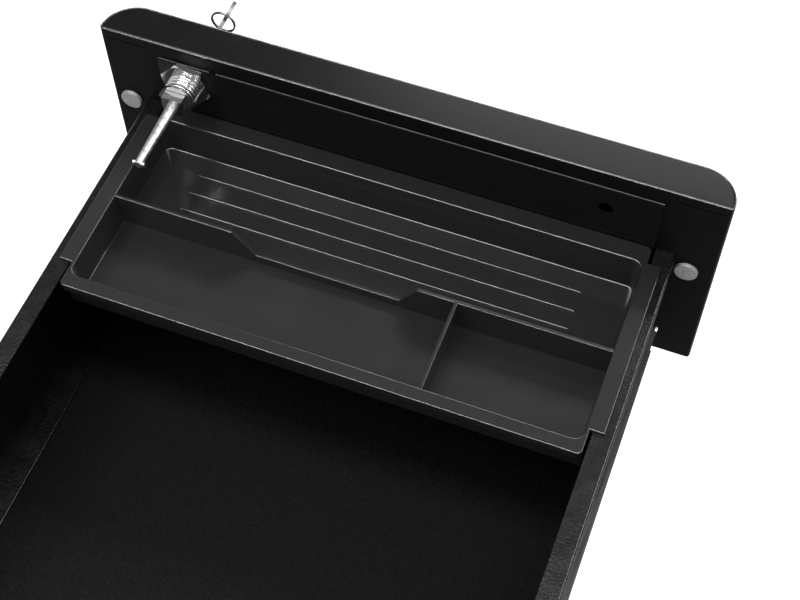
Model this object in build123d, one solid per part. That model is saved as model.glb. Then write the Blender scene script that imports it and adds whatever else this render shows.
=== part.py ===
from build123d import *
import os

os.makedirs("parts", exist_ok=True)

# A rolling drawer cart in black sheet steel. Millimetres throughout.
# It stands on its wheels, faces -Y and has its lock on the +X side.
# In this file y = 0 is the front plane of the body; write() moves the cart so that its box is centred.

# Whole cart
CART_WIDTH = 390.0
BODY_DEPTH = 460.0
CASTER_HEIGHT = 65.0
BASE_HEIGHT = 30.0
TOP_HEIGHT = 22.0
SHEET = 1.0
BEND = 2.0
BODY_FLANGE = 20.0
POST_DEPTH = 13.6
POST_WIDTH = 25.0

# Drawer fronts
DRAWERS = ("bottom", "middle", "top")
FRONT_HEIGHT = 158.0
FRONT_DEPTH = 24.5
FRONT_GAP = 3.0
LIP_HEIGHT = 11.4
BACK_FLANGE = 37.5
BUMPER_GAP = 2.5
BUMPER_SIZE = 14.0
BUMPER_SPOTS = ((1, 12.3, 59.6), (-1, 16.5, 67.0))
OPEN_TRAVEL = 385.0
GRIP_WIDTH = 120.0
GRIP_HEIGHT = 18.0

# Drawer boxes
BOX_TAIL = 4.0
WALL_DROP = 54.0
FLOOR_DROP = 151.0
WALL_FLANGE = 12.2
WALL_STEP = 3.0
WALL_HEM = 3.0
FOOT_FLANGE = 13.3

# Telescopic slides
SLIDE_THICK = 12.7
SLIDE_HALF = 22.5
SLIDE_SHEET = 1.2
SLIDE_DROP = 102.0
SLIDE_SETBACK = 31.0
SLIDE_LENGTH = 385.0
MEMBER_THICK = 4.8
BALL_GAP = 3.3
BALL_CLEARANCE = 0.3

# Pen tray
TRAY_SETBACK = 2.0
TRAY_DEPTH = 144.2
TRAY_RIM = 10.5
TRAY_RIM_THICK = 2.1
TRAY_GAP = 1.9
TRAY_EAR = 10.2
TRAY_DEEP = 24.0
TRAY_WALL = 1.8
TRAY_CORNER = 7.0
DIVIDER_THICK = 2.2
DIVIDER_AT = 77.0
SHORT_BIN = 93.1

# Lock and keys
LOCK_INSET = 55.8
LOCK_DROP = 25.7
BARREL_SIZE = 19.0
BARREL_BEHIND = 16.5
NUT_FLATS = 29.0
NUT_THICK = 3.4
NUT_TURN = 12.0
PLUG_SIZE = 12.0
TAIL_END = 69.5
TAIL_WIDTH = 6.8
TAIL_HEAD = 7.5
KEY_OUT = 43.0
KEY_TURN = 26.0
KEY_BOW = 18.0
KEY_THICK = 2.4
KEY_BLADE = 26.0
KEY_HOLE = 6.0
KEY_EDGE = 6.0
RING_WIRE = 1.4
RING_SIZE = 17.0
RING_CLEAR = 0.5

# Casters
WHEEL_SIZE = 50.0
WHEEL_WIDTH = 18.0
CASTER_TRAIL = 18.0
CASTER_INSET = 62.0
AXLE_SIZE = 8.0
BRAKE_SWING = 12.0

# Clearances
RUN = 0.08
CLEAR = 0.3
TOUCH = 0.2

# Derived planes
HALF = CART_WIDTH / 2
FIRST_FRONT = CASTER_HEIGHT + BASE_HEIGHT
PITCH = FRONT_HEIGHT + FRONT_GAP
TOP_FRONT_TOP = FIRST_FRONT + (len(DRAWERS) - 1) * PITCH + FRONT_HEIGHT
TOP_BOTTOM = TOP_FRONT_TOP + FRONT_GAP
CART_HEIGHT = TOP_BOTTOM + TOP_HEIGHT
CORNER_RADIUS = BEND + CLEAR
FRONT_RADIUS = FRONT_DEPTH - CORNER_RADIUS - CLEAR
POST_FACE = HALF - SHEET - POST_DEPTH
SLIDE_FACE = POST_FACE - SLIDE_THICK
BOX_HALF = SLIDE_FACE + WALL_STEP
BOX_DEPTH = SLIDE_SETBACK + SLIDE_LENGTH + BOX_TAIL
TRAY_HALF = BOX_HALF - WALL_FLANGE - TRAY_GAP - TRAY_WALL
CROSS_AT = SHORT_BIN - TRAY_HALF
LOCK_X = HALF - LOCK_INSET
HOLE_INSET = KEY_HOLE / 2 + KEY_EDGE
KEY_REACH = KEY_OUT + max(0.0, KEY_BOW / 2 - HOLE_INSET)
BODY_FRONT = (BUMPER_GAP + FRONT_DEPTH + OPEN_TRAVEL + KEY_REACH - BODY_DEPTH) / 2
CLOSED_BACK = -BUMPER_GAP
OPEN_BACK = CLOSED_BACK - OPEN_TRAVEL


def front_top(index):
    return FIRST_FRONT + index * PITCH + FRONT_HEIGHT


def block(x0, x1, y0, y1, z0, z1):
    """A square block between two corners."""
    centre = Pos((x0 + x1) / 2, (y0 + y1) / 2, (z0 + z1) / 2)
    return centre * Box(x1 - x0, y1 - y0, z1 - z0)


def rod_x(y, z, x0, x1, radius):
    return Pos((x0 + x1) / 2, y, z) * Rot(0, 90, 0) * Cylinder(radius, x1 - x0)


def rod_y(x, z, y0, y1, radius):
    return Pos(x, (y0 + y1) / 2, z) * Rot(90, 0, 0) * Cylinder(radius, y1 - y0)


def rod_z(x, y, z0, z1, radius):
    return Pos(x, y, (z0 + z1) / 2) * Cylinder(radius, z1 - z0)


def prism_x(points, x0, x1):
    """A prism along X from (y, z) points."""
    outline = make_face(Polyline(*[(x0, y, z) for y, z in points], close=True))
    return extrude(outline, amount=x1 - x0, dir=(1, 0, 0))


def prism_y(points, y0, y1):
    """A prism along Y from (x, z) points."""
    outline = make_face(Polyline(*[(x, y0, z) for x, z in points], close=True))
    return extrude(outline, amount=y1 - y0, dir=(0, 1, 0))


def prism_z(points, z0, z1):
    """A prism along Z from (x, y) points."""
    outline = make_face(Polyline(*[(x, y, z0) for x, y in points], close=True))
    return extrude(outline, amount=z1 - z0, dir=(0, 0, 1))


def edges_at(shape, x=None, y=None, z=None):
    """The edges whose middle lies at the given coordinates."""
    found = []
    for edge in shape.edges():
        middle = edge.center()
        pairs = ((middle.X, x), (middle.Y, y), (middle.Z, z))
        if all(wanted is None or abs(value - wanted) < 0.01 for value, wanted in pairs):
            found.append(edge)
    return found


def both(shape):
    """The shape and its mirror image on the other side of the cart."""
    return [shape, mirror(shape, about=Plane.YZ)]


def write(name, *shapes):
    solids = []
    for shape in shapes:
        for solid in shape.solids():
            solids.append(solid.moved(Location((0, BODY_FRONT, 0))))
    whole = solids[0] if len(solids) == 1 else Compound(children=solids)
    export_step(whole, f"parts/{name}.step")


def rounded_plan(half, y0, y1, front_radius, back_radius, z0, z1):
    """An upright slab with large front corners and small back corners."""
    plan = Rectangle(2 * half, y1 - y0)
    ordered = plan.vertices().sort_by(Axis.Y)
    plan = fillet(ordered[:2], front_radius)
    plan = fillet(plan.vertices().sort_by(Axis.Y)[-2:], back_radius)
    return Pos(0, (y0 + y1) / 2, z0) * extrude(plan, amount=z1 - z0)


# Body

SLIDE_MID_HALF = SLIDE_HALF - SLIDE_SHEET - BALL_GAP
SLIDE_IN_HALF = SLIDE_MID_HALF - SLIDE_SHEET - BALL_GAP
MID_WEB_GAP = 1.4
MID_OUTER = POST_FACE - SLIDE_SHEET - MID_WEB_GAP
NOTCH_CLEAR = 2.0


def side_panel():
    inner = HALF - BODY_FLANGE
    plan = [(HALF, 0), (HALF, BODY_DEPTH), (HALF - SHEET, BODY_DEPTH), (HALF - SHEET, SHEET)]
    plan += [(inner, SHEET), (inner, 0)]
    panel = prism_z(plan, CASTER_HEIGHT, TOP_BOTTOM)
    panel = fillet(edges_at(panel, x=HALF, y=0), BEND)
    for index in range(len(DRAWERS)):
        middle = front_top(index) - SLIDE_DROP
        reach = SLIDE_MID_HALF + NOTCH_CLEAR
        notch_x = MID_OUTER + NOTCH_CLEAR
        panel -= block(inner - 1, notch_x, -1, SHEET + 1, middle - reach, middle + reach)
    return panel


right_side, left_side = both(side_panel())
write("side_panel_right", right_side)
write("side_panel_left", left_side)

inside = HALF - SHEET
write("back_panel", block(-inside, inside, BODY_DEPTH - SHEET, BODY_DEPTH, CASTER_HEIGHT, TOP_BOTTOM))

TOP_SHEET = 1.2
top_front = -BUMPER_GAP - FRONT_DEPTH
top = rounded_plan(HALF, top_front, BODY_DEPTH, FRONT_RADIUS, CORNER_RADIUS, TOP_BOTTOM, CART_HEIGHT)
top = fillet(top.edges().group_by(Axis.Z)[-1], BEND)
top -= rounded_plan(
    HALF - TOP_SHEET,
    top_front + TOP_SHEET,
    BODY_DEPTH - TOP_SHEET,
    FRONT_RADIUS - TOP_SHEET,
    BEND / 2,
    TOP_BOTTOM - 1,
    CART_HEIGHT - TOP_SHEET,
)
write("top_panel", top)

BASE_SHEET = 1.5
SCREW_SIZE = 5.0
PLATE_HALF = 28.0
SCREW_INSET = 7.0
SCREW_AT = PLATE_HALF - SCREW_INSET
base_top = CASTER_HEIGHT + BASE_SHEET
base = block(-inside, inside, SHEET, BODY_DEPTH - SHEET, CASTER_HEIGHT, base_top)
caster_spots = []
for side_y, end in ((CASTER_INSET, "front"), (BODY_DEPTH - CASTER_INSET, "rear")):
    for side_x, hand in ((HALF - CASTER_INSET, "right"), (-HALF + CASTER_INSET, "left")):
        caster_spots.append((f"{end}_{hand}", side_x, side_y))
screw_spots = []
for name, x, y in caster_spots:
    for dx in (-SCREW_AT, SCREW_AT):
        for dy in (-SCREW_AT, SCREW_AT):
            screw_spots.append((x + dx, y + dy))
for x, y in screw_spots:
    base -= rod_z(x, y, CASTER_HEIGHT - 1, base_top + 1, SCREW_SIZE / 2)
write("base_panel", base)

RAIL_RETURN = 12.0
RAIL_LAP = 2.0
rail_half = HALF - BODY_FLANGE
rail_top = FIRST_FRONT + RAIL_LAP
rail = block(-rail_half, rail_half, 0, SHEET, CASTER_HEIGHT, rail_top)
rail += block(-rail_half, rail_half, 0, RAIL_RETURN, rail_top - SHEET, rail_top)
rail = fillet(edges_at(rail, y=0, z=rail_top), BEND)
write("plinth_rail", rail)

FRONT_POST = 60.0
REAR_POST_INSET = 90.0
REAR_POST = BODY_DEPTH - REAR_POST_INSET


def post(y0):
    y1 = y0 + POST_WIDTH
    wall = HALF - SHEET
    plan = [(wall, y0), (POST_FACE, y0), (POST_FACE, y1), (wall, y1), (wall, y1 - SHEET)]
    plan += [(POST_FACE + SHEET, y1 - SHEET), (POST_FACE + SHEET, y0 + SHEET), (wall, y0 + SHEET)]
    return prism_z(plan, base_top, TOP_BOTTOM)


write("slide_posts", *both(post(FRONT_POST)), *both(post(REAR_POST)))


# Slides: the cabinet member, the intermediate member that moves half as far, and the drawer member

def channel(x_web, x_lip, half, y0, middle):
    """A C channel along Y; its web lies at x_web and its lips end at x_lip."""
    step = SLIDE_SHEET if x_lip > x_web else -SLIDE_SHEET
    low = middle - half
    high = middle + half
    outline = [(x_web, low), (x_lip, low), (x_lip, low + SLIDE_SHEET), (x_web + step, low + SLIDE_SHEET)]
    outline += [(x_web + step, high - SLIDE_SHEET), (x_lip, high - SLIDE_SHEET), (x_lip, high), (x_web, high)]
    return prism_y(outline, y0, y0 + SLIDE_LENGTH)


LIP_GAP = 1.2
MID_LIP = SLIDE_FACE + SLIDE_SHEET + LIP_GAP
IN_LIP = SLIDE_FACE + MEMBER_THICK
OUT_LIP = SLIDE_FACE + LIP_GAP
slide_start = CLOSED_BACK + SLIDE_SETBACK

cabinet_members = []
for index in range(len(DRAWERS)):
    middle = front_top(index) - SLIDE_DROP
    cabinet_members += both(channel(POST_FACE, OUT_LIP, SLIDE_HALF, slide_start, middle))
write("slide_cabinet_members", *cabinet_members)

BALL_SIZE = BALL_GAP - 2 * BALL_CLEARANCE
CAGE_LENGTH = 80.0
CAGE_AT = 20.0
CAGE_SHEET = 0.8
BALLS_PER_CAGE = 5


def ball_cage(x0, x1, y0, middle):
    """A flat strip that carries a row of balls."""
    strip = block(x0, x1, y0, y0 + CAGE_LENGTH, middle - CAGE_SHEET / 2, middle + CAGE_SHEET / 2)
    pitch = CAGE_LENGTH / BALLS_PER_CAGE
    for count in range(BALLS_PER_CAGE):
        strip += Pos((x0 + x1) / 2, y0 + (count + 0.5) * pitch, middle) * Sphere(BALL_SIZE / 2)
    return strip


for index, name in enumerate(DRAWERS):
    middle = front_top(index) - SLIDE_DROP
    opened = OPEN_TRAVEL if name == "top" else 0.0
    start = slide_start - opened / 2
    write(f"{name}_slide_middles", *both(channel(MID_OUTER, MID_LIP, SLIDE_MID_HALF, start, middle)))
    cages = []
    for way in (-1, 1):
        outer_row = middle + way * (SLIDE_MID_HALF + BALL_GAP / 2)
        inner_row = middle + way * (SLIDE_IN_HALF + BALL_GAP / 2)
        outer_y = start + SLIDE_LENGTH - OPEN_TRAVEL / 2 + CAGE_AT
        inner_y = start + CAGE_AT
        cages += both(ball_cage(MID_LIP, MID_OUTER, outer_y, outer_row))
        cages += both(ball_cage(MID_LIP, IN_LIP, inner_y, inner_row))
    write(f"{name}_slide_balls", *cages)


# Drawers

PLATE_REACH = HALF - BACK_FLANGE - TOUCH
PLATE_LAP = 4.0
CAVITY_CORNER = 0.2
PLATE_SHEET = 1.5
PLATE_EDGE = 1.4
SLIT_DROP = 6.5
SLIT_HIGH = 0.7
SLIT_INSET = 6.5
SLIT_EDGE = 3.0
TAB_NOTCH_AT = 18.0
TAB_NOTCH_WIDE = 4.4
TAB_NOTCH_DEEP = 1.6
SPARE_HOLE = 9.0
SPARE_HOLE_INSET = 70.0
SPARE_HOLE_DROP = 29.0


def front_panel(top_z, back, lock):
    """A folded pan with round front edges, a window in its back and a finger cut-out below."""
    low = top_z - FRONT_HEIGHT
    skin = back - FRONT_DEPTH
    pan = rounded_plan(HALF, skin, back, FRONT_RADIUS, CORNER_RADIUS, low, top_z)
    pan = fillet(pan.edges().group_by(Axis.Z)[-1], BEND)
    cavity_radius = FRONT_RADIUS - SHEET
    pan -= rounded_plan(
        HALF - SHEET,
        skin + SHEET,
        back - SHEET,
        cavity_radius - SHEET,
        CAVITY_CORNER,
        low + SHEET,
        top_z - SHEET,
    )
    window = PLATE_REACH - PLATE_LAP
    edge = LIP_HEIGHT + PLATE_LAP
    pan -= block(-window, window, back - SHEET - TOUCH, back + 1, low + edge, top_z - edge)
    for side in (-1, 1):
        ends = sorted((side * (PLATE_REACH + SLIT_INSET), side * (HALF - SLIT_EDGE)))
        slit = top_z - SLIT_DROP
        pan -= block(ends[0], ends[1], back - SHEET - TOUCH, back + 1, slit - SLIT_HIGH, slit)
    slope = GRIP_HEIGHT / 2
    wide = GRIP_WIDTH / 2
    grip = [(-wide, low - 1), (wide, low - 1), (wide, low), (wide - slope, low + GRIP_HEIGHT)]
    grip += [(-wide + slope, low + GRIP_HEIGHT), (-wide, low)]
    pan -= prism_y(grip, skin - 1, back - SHEET - CLEAR)
    if lock:
        pan -= rod_y(LOCK_X, top_z - LOCK_DROP, skin - 1, skin + SHEET + 1, BARREL_SIZE / 2)
    return pan


def inner_plate(top_z, back, lock):
    """The flat plate on the back of the pan, between the drawer's walls, that closes the window."""
    high = top_z - LIP_HEIGHT
    low = top_z - FLOOR_DROP + TOUCH
    face = back + PLATE_SHEET
    plate = block(-PLATE_REACH, PLATE_REACH, back, face, low, high)
    plate = fillet(edges_at(plate, y=face, z=high), PLATE_EDGE)
    plate -= rod_y(SPARE_HOLE_INSET - HALF, top_z - SPARE_HOLE_DROP, back - 1, face + 1, SPARE_HOLE / 2)
    if lock:
        plate -= rod_y(LOCK_X, top_z - LOCK_DROP, back - 1, face + 1, BARREL_SIZE / 2)
        notch = LOCK_X - TAB_NOTCH_AT
        half = TAB_NOTCH_WIDE / 2
        plate -= block(notch - half, notch + half, back - 1, face + 1, high - TAB_NOTCH_DEEP, high + 1)
    return plate


def side_wall(top_z, back):
    """A folded wall: a flange at the top, hemmed over the slide outside, and another on the floor."""
    high = top_z - WALL_DROP
    low = top_z - FLOOR_DROP
    in_top = BOX_HALF - WALL_FLANGE
    in_low = BOX_HALF - FOOT_FLANGE
    inside = SLIDE_FACE - SHEET
    hem = high - WALL_HEM
    outline = [(SLIDE_FACE, low), (SLIDE_FACE, hem), (BOX_HALF, hem), (BOX_HALF, high)]
    outline += [(in_top, high), (in_top, high - SHEET)]
    outline += [(inside, high - SHEET), (inside, low + SHEET), (in_low, low + SHEET), (in_low, low)]
    wall = prism_y(outline, back, back + BOX_DEPTH)
    return fillet(edges_at(wall, x=BOX_HALF, z=high) + edges_at(wall, x=SLIDE_FACE, z=low), BEND)


def back_wall(top_z, back):
    """The rear of the box, with a flange forwards along its top."""
    end = back + BOX_DEPTH
    inside = SLIDE_FACE - SHEET - TOUCH
    between = BOX_HALF - FOOT_FLANGE - TOUCH
    low = top_z - FLOOR_DROP
    high = top_z - WALL_DROP - SHEET - TOUCH
    wall = block(-inside, inside, end - SHEET, end, low + SHEET, high)
    wall += block(-between, between, end - SHEET, end, low, low + SHEET)
    wall += block(-between, between, end - WALL_FLANGE, end, high - SHEET, high)
    return wall


for index, name in enumerate(DRAWERS):
    top_z = front_top(index)
    lock = name == "top"
    back = OPEN_BACK if lock else CLOSED_BACK
    middle = top_z - SLIDE_DROP
    write(f"{name}_front_panel", front_panel(top_z, back, lock))
    write(f"{name}_inner_plate", inner_plate(top_z, back, lock))
    write(f"{name}_side_walls", *both(side_wall(top_z, back)))
    low = top_z - FLOOR_DROP
    write(f"{name}_floor", block(-SLIDE_FACE, SLIDE_FACE, back, back + BOX_DEPTH, low - SHEET, low))
    write(f"{name}_back_wall", back_wall(top_z, back))
    bumpers = []
    bumper_end = back + BUMPER_GAP - TOUCH
    for way, inset, drop in BUMPER_SPOTS:
        bumper = rod_y(way * (HALF - inset), top_z - drop, back, bumper_end, BUMPER_SIZE / 2)
        bumpers.append(fillet(edges_at(bumper, y=bumper_end), BUMPER_GAP / 3))
    write(f"{name}_bumpers", *bumpers)
    member = channel(SLIDE_FACE, IN_LIP, SLIDE_IN_HALF, back + SLIDE_SETBACK, middle)
    write(f"{name}_slide_members", *both(member))


# Pen tray, resting on the flanges of the top drawer

TRAY_DRAFT = 5.0
TRAY_EDGE = 1.0
RIM_EDGE = 0.7
TRAY_FOOT = 0.8
RIM_CORNER = 3.0
TRAY_LIP = 3.0
EAR_SETBACK = 11.5
EAR_SHORT = 5.0
DIVIDER_DROP = 0.8
DIVIDER_EDGE = 0.5
SCOOP_DEEP = 16.6
SCOOP_RIGHT = 76.4
SCOOP_RIGHT_SLOPE = 14.0
SCOOP_LEFT = 116.8
SCOOP_LEFT_SLOPE = 11.0
RIB_INSET = 30.8
RIB_RADIUS = 0.9
RIBS = (31.0, 45.0, 58.0)
rim_low = TOP_FRONT_TOP - WALL_DROP
rim_top = rim_low + TRAY_RIM_THICK
tray_front = OPEN_BACK + TRAY_SETBACK
tray_rear = tray_front + TRAY_DEPTH
pocket_front = tray_front + TRAY_RIM + TRAY_WALL
pocket_rear = tray_rear - TRAY_RIM + TRAY_WALL
tray_floor = rim_top - TRAY_DEEP
ear_front = tray_front + EAR_SETBACK
ear_rear = tray_rear - EAR_SETBACK - EAR_SHORT
ear_reach = TRAY_HALF + TRAY_EAR
tray_side = TRAY_HALF + TRAY_WALL
divider_y = OPEN_BACK + DIVIDER_AT

rim = block(-tray_side, tray_side, tray_front, tray_rear, rim_low, rim_top)
tray = fillet(rim.edges().filter_by(Axis.Z), RIM_CORNER)
tray += block(-ear_reach, ear_reach, ear_front, ear_rear, rim_low, rim_top)
lip_reach = tray_side - RIM_CORNER
for lip_y in (tray_front, tray_rear - TRAY_WALL):
    tray += block(-lip_reach, lip_reach, lip_y, lip_y + TRAY_WALL, rim_low - TRAY_LIP, rim_top)
tray += block(
    -tray_side, tray_side, pocket_front - TRAY_WALL, pocket_rear + TRAY_WALL, tray_floor - TRAY_WALL, rim_top
)
plan = RectangleRounded(2 * TRAY_HALF, pocket_rear - pocket_front, TRAY_CORNER)
plan = Pos(0, (pocket_front + pocket_rear) / 2, rim_top) * plan
pocket = extrude(plan, amount=TRAY_DEEP, dir=(0, 0, -1), taper=TRAY_DRAFT)
tray -= fillet(pocket.faces().sort_by(Axis.Z)[0].edges(), TRAY_FOOT)
tray = fillet(tray.faces().sort_by(Axis.Z)[-1].outer_wire().edges(), RIM_EDGE)
tray = fillet(tray.faces().sort_by(Axis.Z)[-1].inner_wires()[0].edges(), TRAY_EDGE)

# A scooped divider lies between the trough and the bins, and a short one between the two bins
divider_top = rim_top - DIVIDER_DROP
dip = divider_top - SCOOP_DEEP
divider_low = tray_floor - TRAY_WALL / 2
divider_reach = TRAY_HALF + TRAY_WALL / 2
half_divider = DIVIDER_THICK / 2
scoop_x0 = SCOOP_LEFT - TRAY_HALF
scoop_x1 = TRAY_HALF - SCOOP_RIGHT
outline = [(-divider_reach, divider_low), (divider_reach, divider_low), (divider_reach, divider_top)]
outline += [(scoop_x1, divider_top), (scoop_x1 - SCOOP_RIGHT_SLOPE, dip)]
outline += [(scoop_x0 + SCOOP_LEFT_SLOPE, dip), (scoop_x0, divider_top), (-divider_reach, divider_top)]
divider = prism_y(outline, divider_y - half_divider, divider_y + half_divider)
for side_y in (divider_y - half_divider, divider_y + half_divider):
    upper = [edge for edge in edges_at(divider, y=side_y) if edge.center().Z > divider_low + 1]
    upper = [edge for edge in upper if abs(edge.center().X) < divider_reach - 1]
    divider = fillet(upper, DIVIDER_EDGE)
tray += divider
cross_x0 = CROSS_AT - half_divider
cross_x1 = CROSS_AT + half_divider
cross = block(cross_x0, cross_x1, divider_y, pocket_rear + TRAY_WALL / 2, divider_low, divider_top)
cross_tops = edges_at(cross, x=cross_x0, z=divider_top) + edges_at(cross, x=cross_x1, z=divider_top)
tray += fillet(cross_tops, DIVIDER_EDGE)
for rib in RIBS:
    rib_y = OPEN_BACK + rib
    tray += rod_x(rib_y, tray_floor, RIB_INSET - TRAY_HALF, TRAY_HALF - RIB_INSET, RIB_RADIUS)
write("pen_tray", tray)


# Lock, with the key in it; the tail turns behind the keeper when the top drawer is shut

BEZEL = 2.0
BEZEL_RIM = 2.5
GROOVE_PITCH = 1.5
GROOVE_DEEP = 0.7
WASHER_THICK = 1.6
WASHER_EDGE = 1.2
BOSS = 13.0
NUT_ROUND = 1.13
BOSS_LONG = 6.0
BLADE_HIGH = 7.0
TAIL_TAPER = 0.7
HEAD_PIN = 2.8
lock_z = TOP_FRONT_TOP - LOCK_DROP
skin_y = OPEN_BACK - FRONT_DEPTH
barrel_r = BARREL_SIZE / 2
bore_r = PLUG_SIZE / 2 + RUN
barrel_end = OPEN_BACK + BARREL_BEHIND
nut_y = OPEN_BACK + PLATE_SHEET
nut_end = nut_y + NUT_THICK

housing = rod_y(LOCK_X, lock_z, skin_y, barrel_end, barrel_r)
housing += rod_y(LOCK_X, lock_z, skin_y - BEZEL, skin_y, barrel_r + BEZEL_RIM)
groove_count = int((barrel_end - WASHER_THICK - nut_end) / GROOVE_PITCH)
for count in range(groove_count):
    groove_y = nut_end + (count + 0.25) * GROOVE_PITCH
    groove = rod_y(LOCK_X, lock_z, groove_y, groove_y + GROOVE_PITCH / 2, BARREL_SIZE)
    groove -= rod_y(LOCK_X, lock_z, groove_y, groove_y + GROOVE_PITCH / 2, barrel_r - GROOVE_DEEP)
    housing -= groove
housing -= rod_y(LOCK_X, lock_z, skin_y - BEZEL, barrel_end, bore_r)
write("lock_housing", housing)

hexagon = extrude(RegularPolygon(NUT_FLATS / 2, 6, major_radius=False), amount=NUT_THICK)
turned = Cylinder(NUT_FLATS / 2 * NUT_ROUND, NUT_THICK, align=(Align.CENTER, Align.CENTER, Align.MIN))
turned = chamfer(turned.edges().group_by(Axis.Z)[0], NUT_THICK / 4, NUT_THICK / 3)
nut = Pos(LOCK_X, nut_end, lock_z) * Rot(90, 0, 0) * Rot(0, 0, NUT_TURN) * (hexagon & turned)
nut -= rod_y(LOCK_X, lock_z, nut_y, nut_end, barrel_r)
washer = rod_y(LOCK_X, lock_z, barrel_end - WASHER_THICK, barrel_end, barrel_r + WASHER_EDGE)
for way in (-1, 1):
    washer += rod_y(LOCK_X + way * barrel_r, lock_z, barrel_end - WASHER_THICK, barrel_end, 2 * WASHER_EDGE)
washer -= rod_y(LOCK_X, lock_z, barrel_end - WASHER_THICK, barrel_end, barrel_r)
write("lock_nut", nut, washer)

plug_front = skin_y - BEZEL
boss_y = barrel_end + CLEAR
boss_half = BOSS / 2
plug = rod_y(LOCK_X, lock_z, plug_front, boss_y, PLUG_SIZE / 2)
plug += block(
    LOCK_X - boss_half, LOCK_X + boss_half, boss_y, boss_y + BOSS_LONG, lock_z - boss_half, lock_z + boss_half
)
slot_half = KEY_THICK / 2 + CLEAR
slot_high = BLADE_HIGH / 2 + CLEAR
slot_end = plug_front + KEY_BLADE + 1
lean = Pos(LOCK_X, 0, lock_z) * Rot(0, -KEY_TURN, 0)
plug -= lean * block(-slot_half, slot_half, plug_front, slot_end, -slot_high, slot_high)
write("lock_plug", plug)

tail_y = boss_y + BOSS_LONG
tail_end = OPEN_BACK + TAIL_END
tail_long = tail_end - tail_y
tail = Pos(LOCK_X, tail_y + tail_long / 2, lock_z) * Rot(-90, 0, 0)
tail = tail * Cone(TAIL_WIDTH / 2, TAIL_WIDTH / 2 * TAIL_TAPER, tail_long)
head_y = tail_end - HEAD_PIN / 2
tail += rod_x(head_y, lock_z, LOCK_X - TAIL_HEAD / 2, LOCK_X + TAIL_HEAD / 2, HEAD_PIN / 2)
write("lock_tail", tail)

KEEPER_SHEET = 1.5
KEEPER_HALF = 18.0
KEEPER_DROP = 14.0
KEEPER_FOOT = 22.0
SLOT_CLEAR = 1.2
KEEPER_GAP = 6.0
keeper_y = CLOSED_BACK + TAIL_END - HEAD_PIN - KEEPER_GAP - KEEPER_SHEET
keeper_top = CART_HEIGHT - TOP_SHEET
keeper_x0 = LOCK_X - KEEPER_HALF
keeper_x1 = LOCK_X + KEEPER_HALF
keeper_back = keeper_y + KEEPER_SHEET
keeper = block(keeper_x0, keeper_x1, keeper_y, keeper_back, lock_z - KEEPER_DROP, keeper_top)
keeper += block(
    keeper_x0, keeper_x1, keeper_y, keeper_y + KEEPER_FOOT, keeper_top - KEEPER_SHEET, keeper_top
)
slot_wide = TAIL_HEAD / 2 + SLOT_CLEAR
slot_tall = HEAD_PIN / 2 + SLOT_CLEAR
slot_low = lock_z - slot_tall
keeper -= block(
    LOCK_X - slot_wide, LOCK_X + slot_wide, keeper_y - 1, keeper_back + 1, slot_low, slot_low + 2 * slot_tall
)
tail_tip = TAIL_WIDTH / 2 * TAIL_TAPER
keeper -= rod_y(LOCK_X, lock_z, keeper_y - 1, keeper_back + 1, tail_tip + SLOT_CLEAR / 2)
write("lock_keeper", keeper)

KEY_CUTS = 4
CUT_START = 4.0
CUT_PITCH = 4.5
CUT_HALF = 1.6
CUT_LEAVES = 1.5
bow_y = skin_y - KEY_OUT + KEY_BOW / 2
hole_y = skin_y - KEY_OUT + HOLE_INSET


def key_shape(x, y, z, blade_end):
    """A flat key: a round bow with a hole, a neck and a notched blade towards +Y."""
    x0 = x - KEY_THICK / 2
    x1 = x + KEY_THICK / 2
    shape = rod_x(y, z, x0, x1, KEY_BOW / 2)
    shape += block(x0, x1, y, blade_end, z - BLADE_HIGH / 2, z + BLADE_HIGH / 2)
    shape -= rod_x(y - KEY_BOW / 2 + HOLE_INSET, z, x0 - 1, x1 + 1, KEY_HOLE / 2)
    high = z + BLADE_HIGH / 2 + 1
    for count in range(KEY_CUTS):
        cut = blade_end - CUT_START - count * CUT_PITCH
        notch = [(cut - CUT_HALF, high), (cut, z + CUT_LEAVES), (cut + CUT_HALF, high)]
        shape -= prism_x(notch, x0 - 1, x1 + 1)
    return shape


write("key", lean * key_shape(0, bow_y, 0, plug_front + KEY_BLADE))

ring_radius = RING_SIZE / 2 - RING_WIRE / 2
ring_seat = KEY_HOLE / 2 - RING_WIRE / 2 - RING_CLEAR
ring_z = -ring_seat - ring_radius
write("key_ring", lean * Pos(0, hole_y, ring_z) * Rot(90, 0, 0) * Torus(ring_radius, RING_WIRE / 2))

spare = key_shape(0, 0, 0, KEY_BOW / 2 + KEY_BLADE)
spare_hole = -KEY_BOW / 2 + HOLE_INSET
spare_z = ring_z - ring_radius - ring_seat
spare = lean * Pos(0, hole_y, spare_z) * Rot(-90, 0, 0) * Pos(0, -spare_hole, 0) * spare
write("spare_key", spare)


# Casters: a plate with its kingpin, a swivelling fork on a riveted axle, a wheel, and a brake lever in front

WHEEL_R = WHEEL_SIZE / 2
PLATE_THICK = 2.0
RACE_R = 20.0
RACE_HIGH = 4.7
KINGPIN_R = 5.0
HEAD_EDGE = 3.0
FORK_PLATE = 2.3
FORK_NOSE = 12.0
FORK_TAIL = 5.0
LEG_FOOT = 8.0
LEG_CHAMFER = 4.0
plate_low = CASTER_HEIGHT - PLATE_THICK
fork_high = plate_low - RACE_HIGH
fork_low = fork_high - FORK_PLATE
HEAD_THICK = 2.5
LEG_THICK = 2.5
WHEEL_GAP = 1.0
leg_in = WHEEL_WIDTH / 2 + WHEEL_GAP
leg_out = leg_in + LEG_THICK
RIVET_THICK = 2.0
RIVET_EDGE = 1.5
TYRE_ROUND = 4.0
TYRE_THICK = 7.0
HOLLOW_DEEP = 3.0
HUB_WALL = 4.0
PIVOT_R = 1.5
PIVOT_BACK = 6.0
PIVOT_RISE = 28.0
LEVER_GAP = 0.5
LEVER_EYE = 1.3
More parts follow.
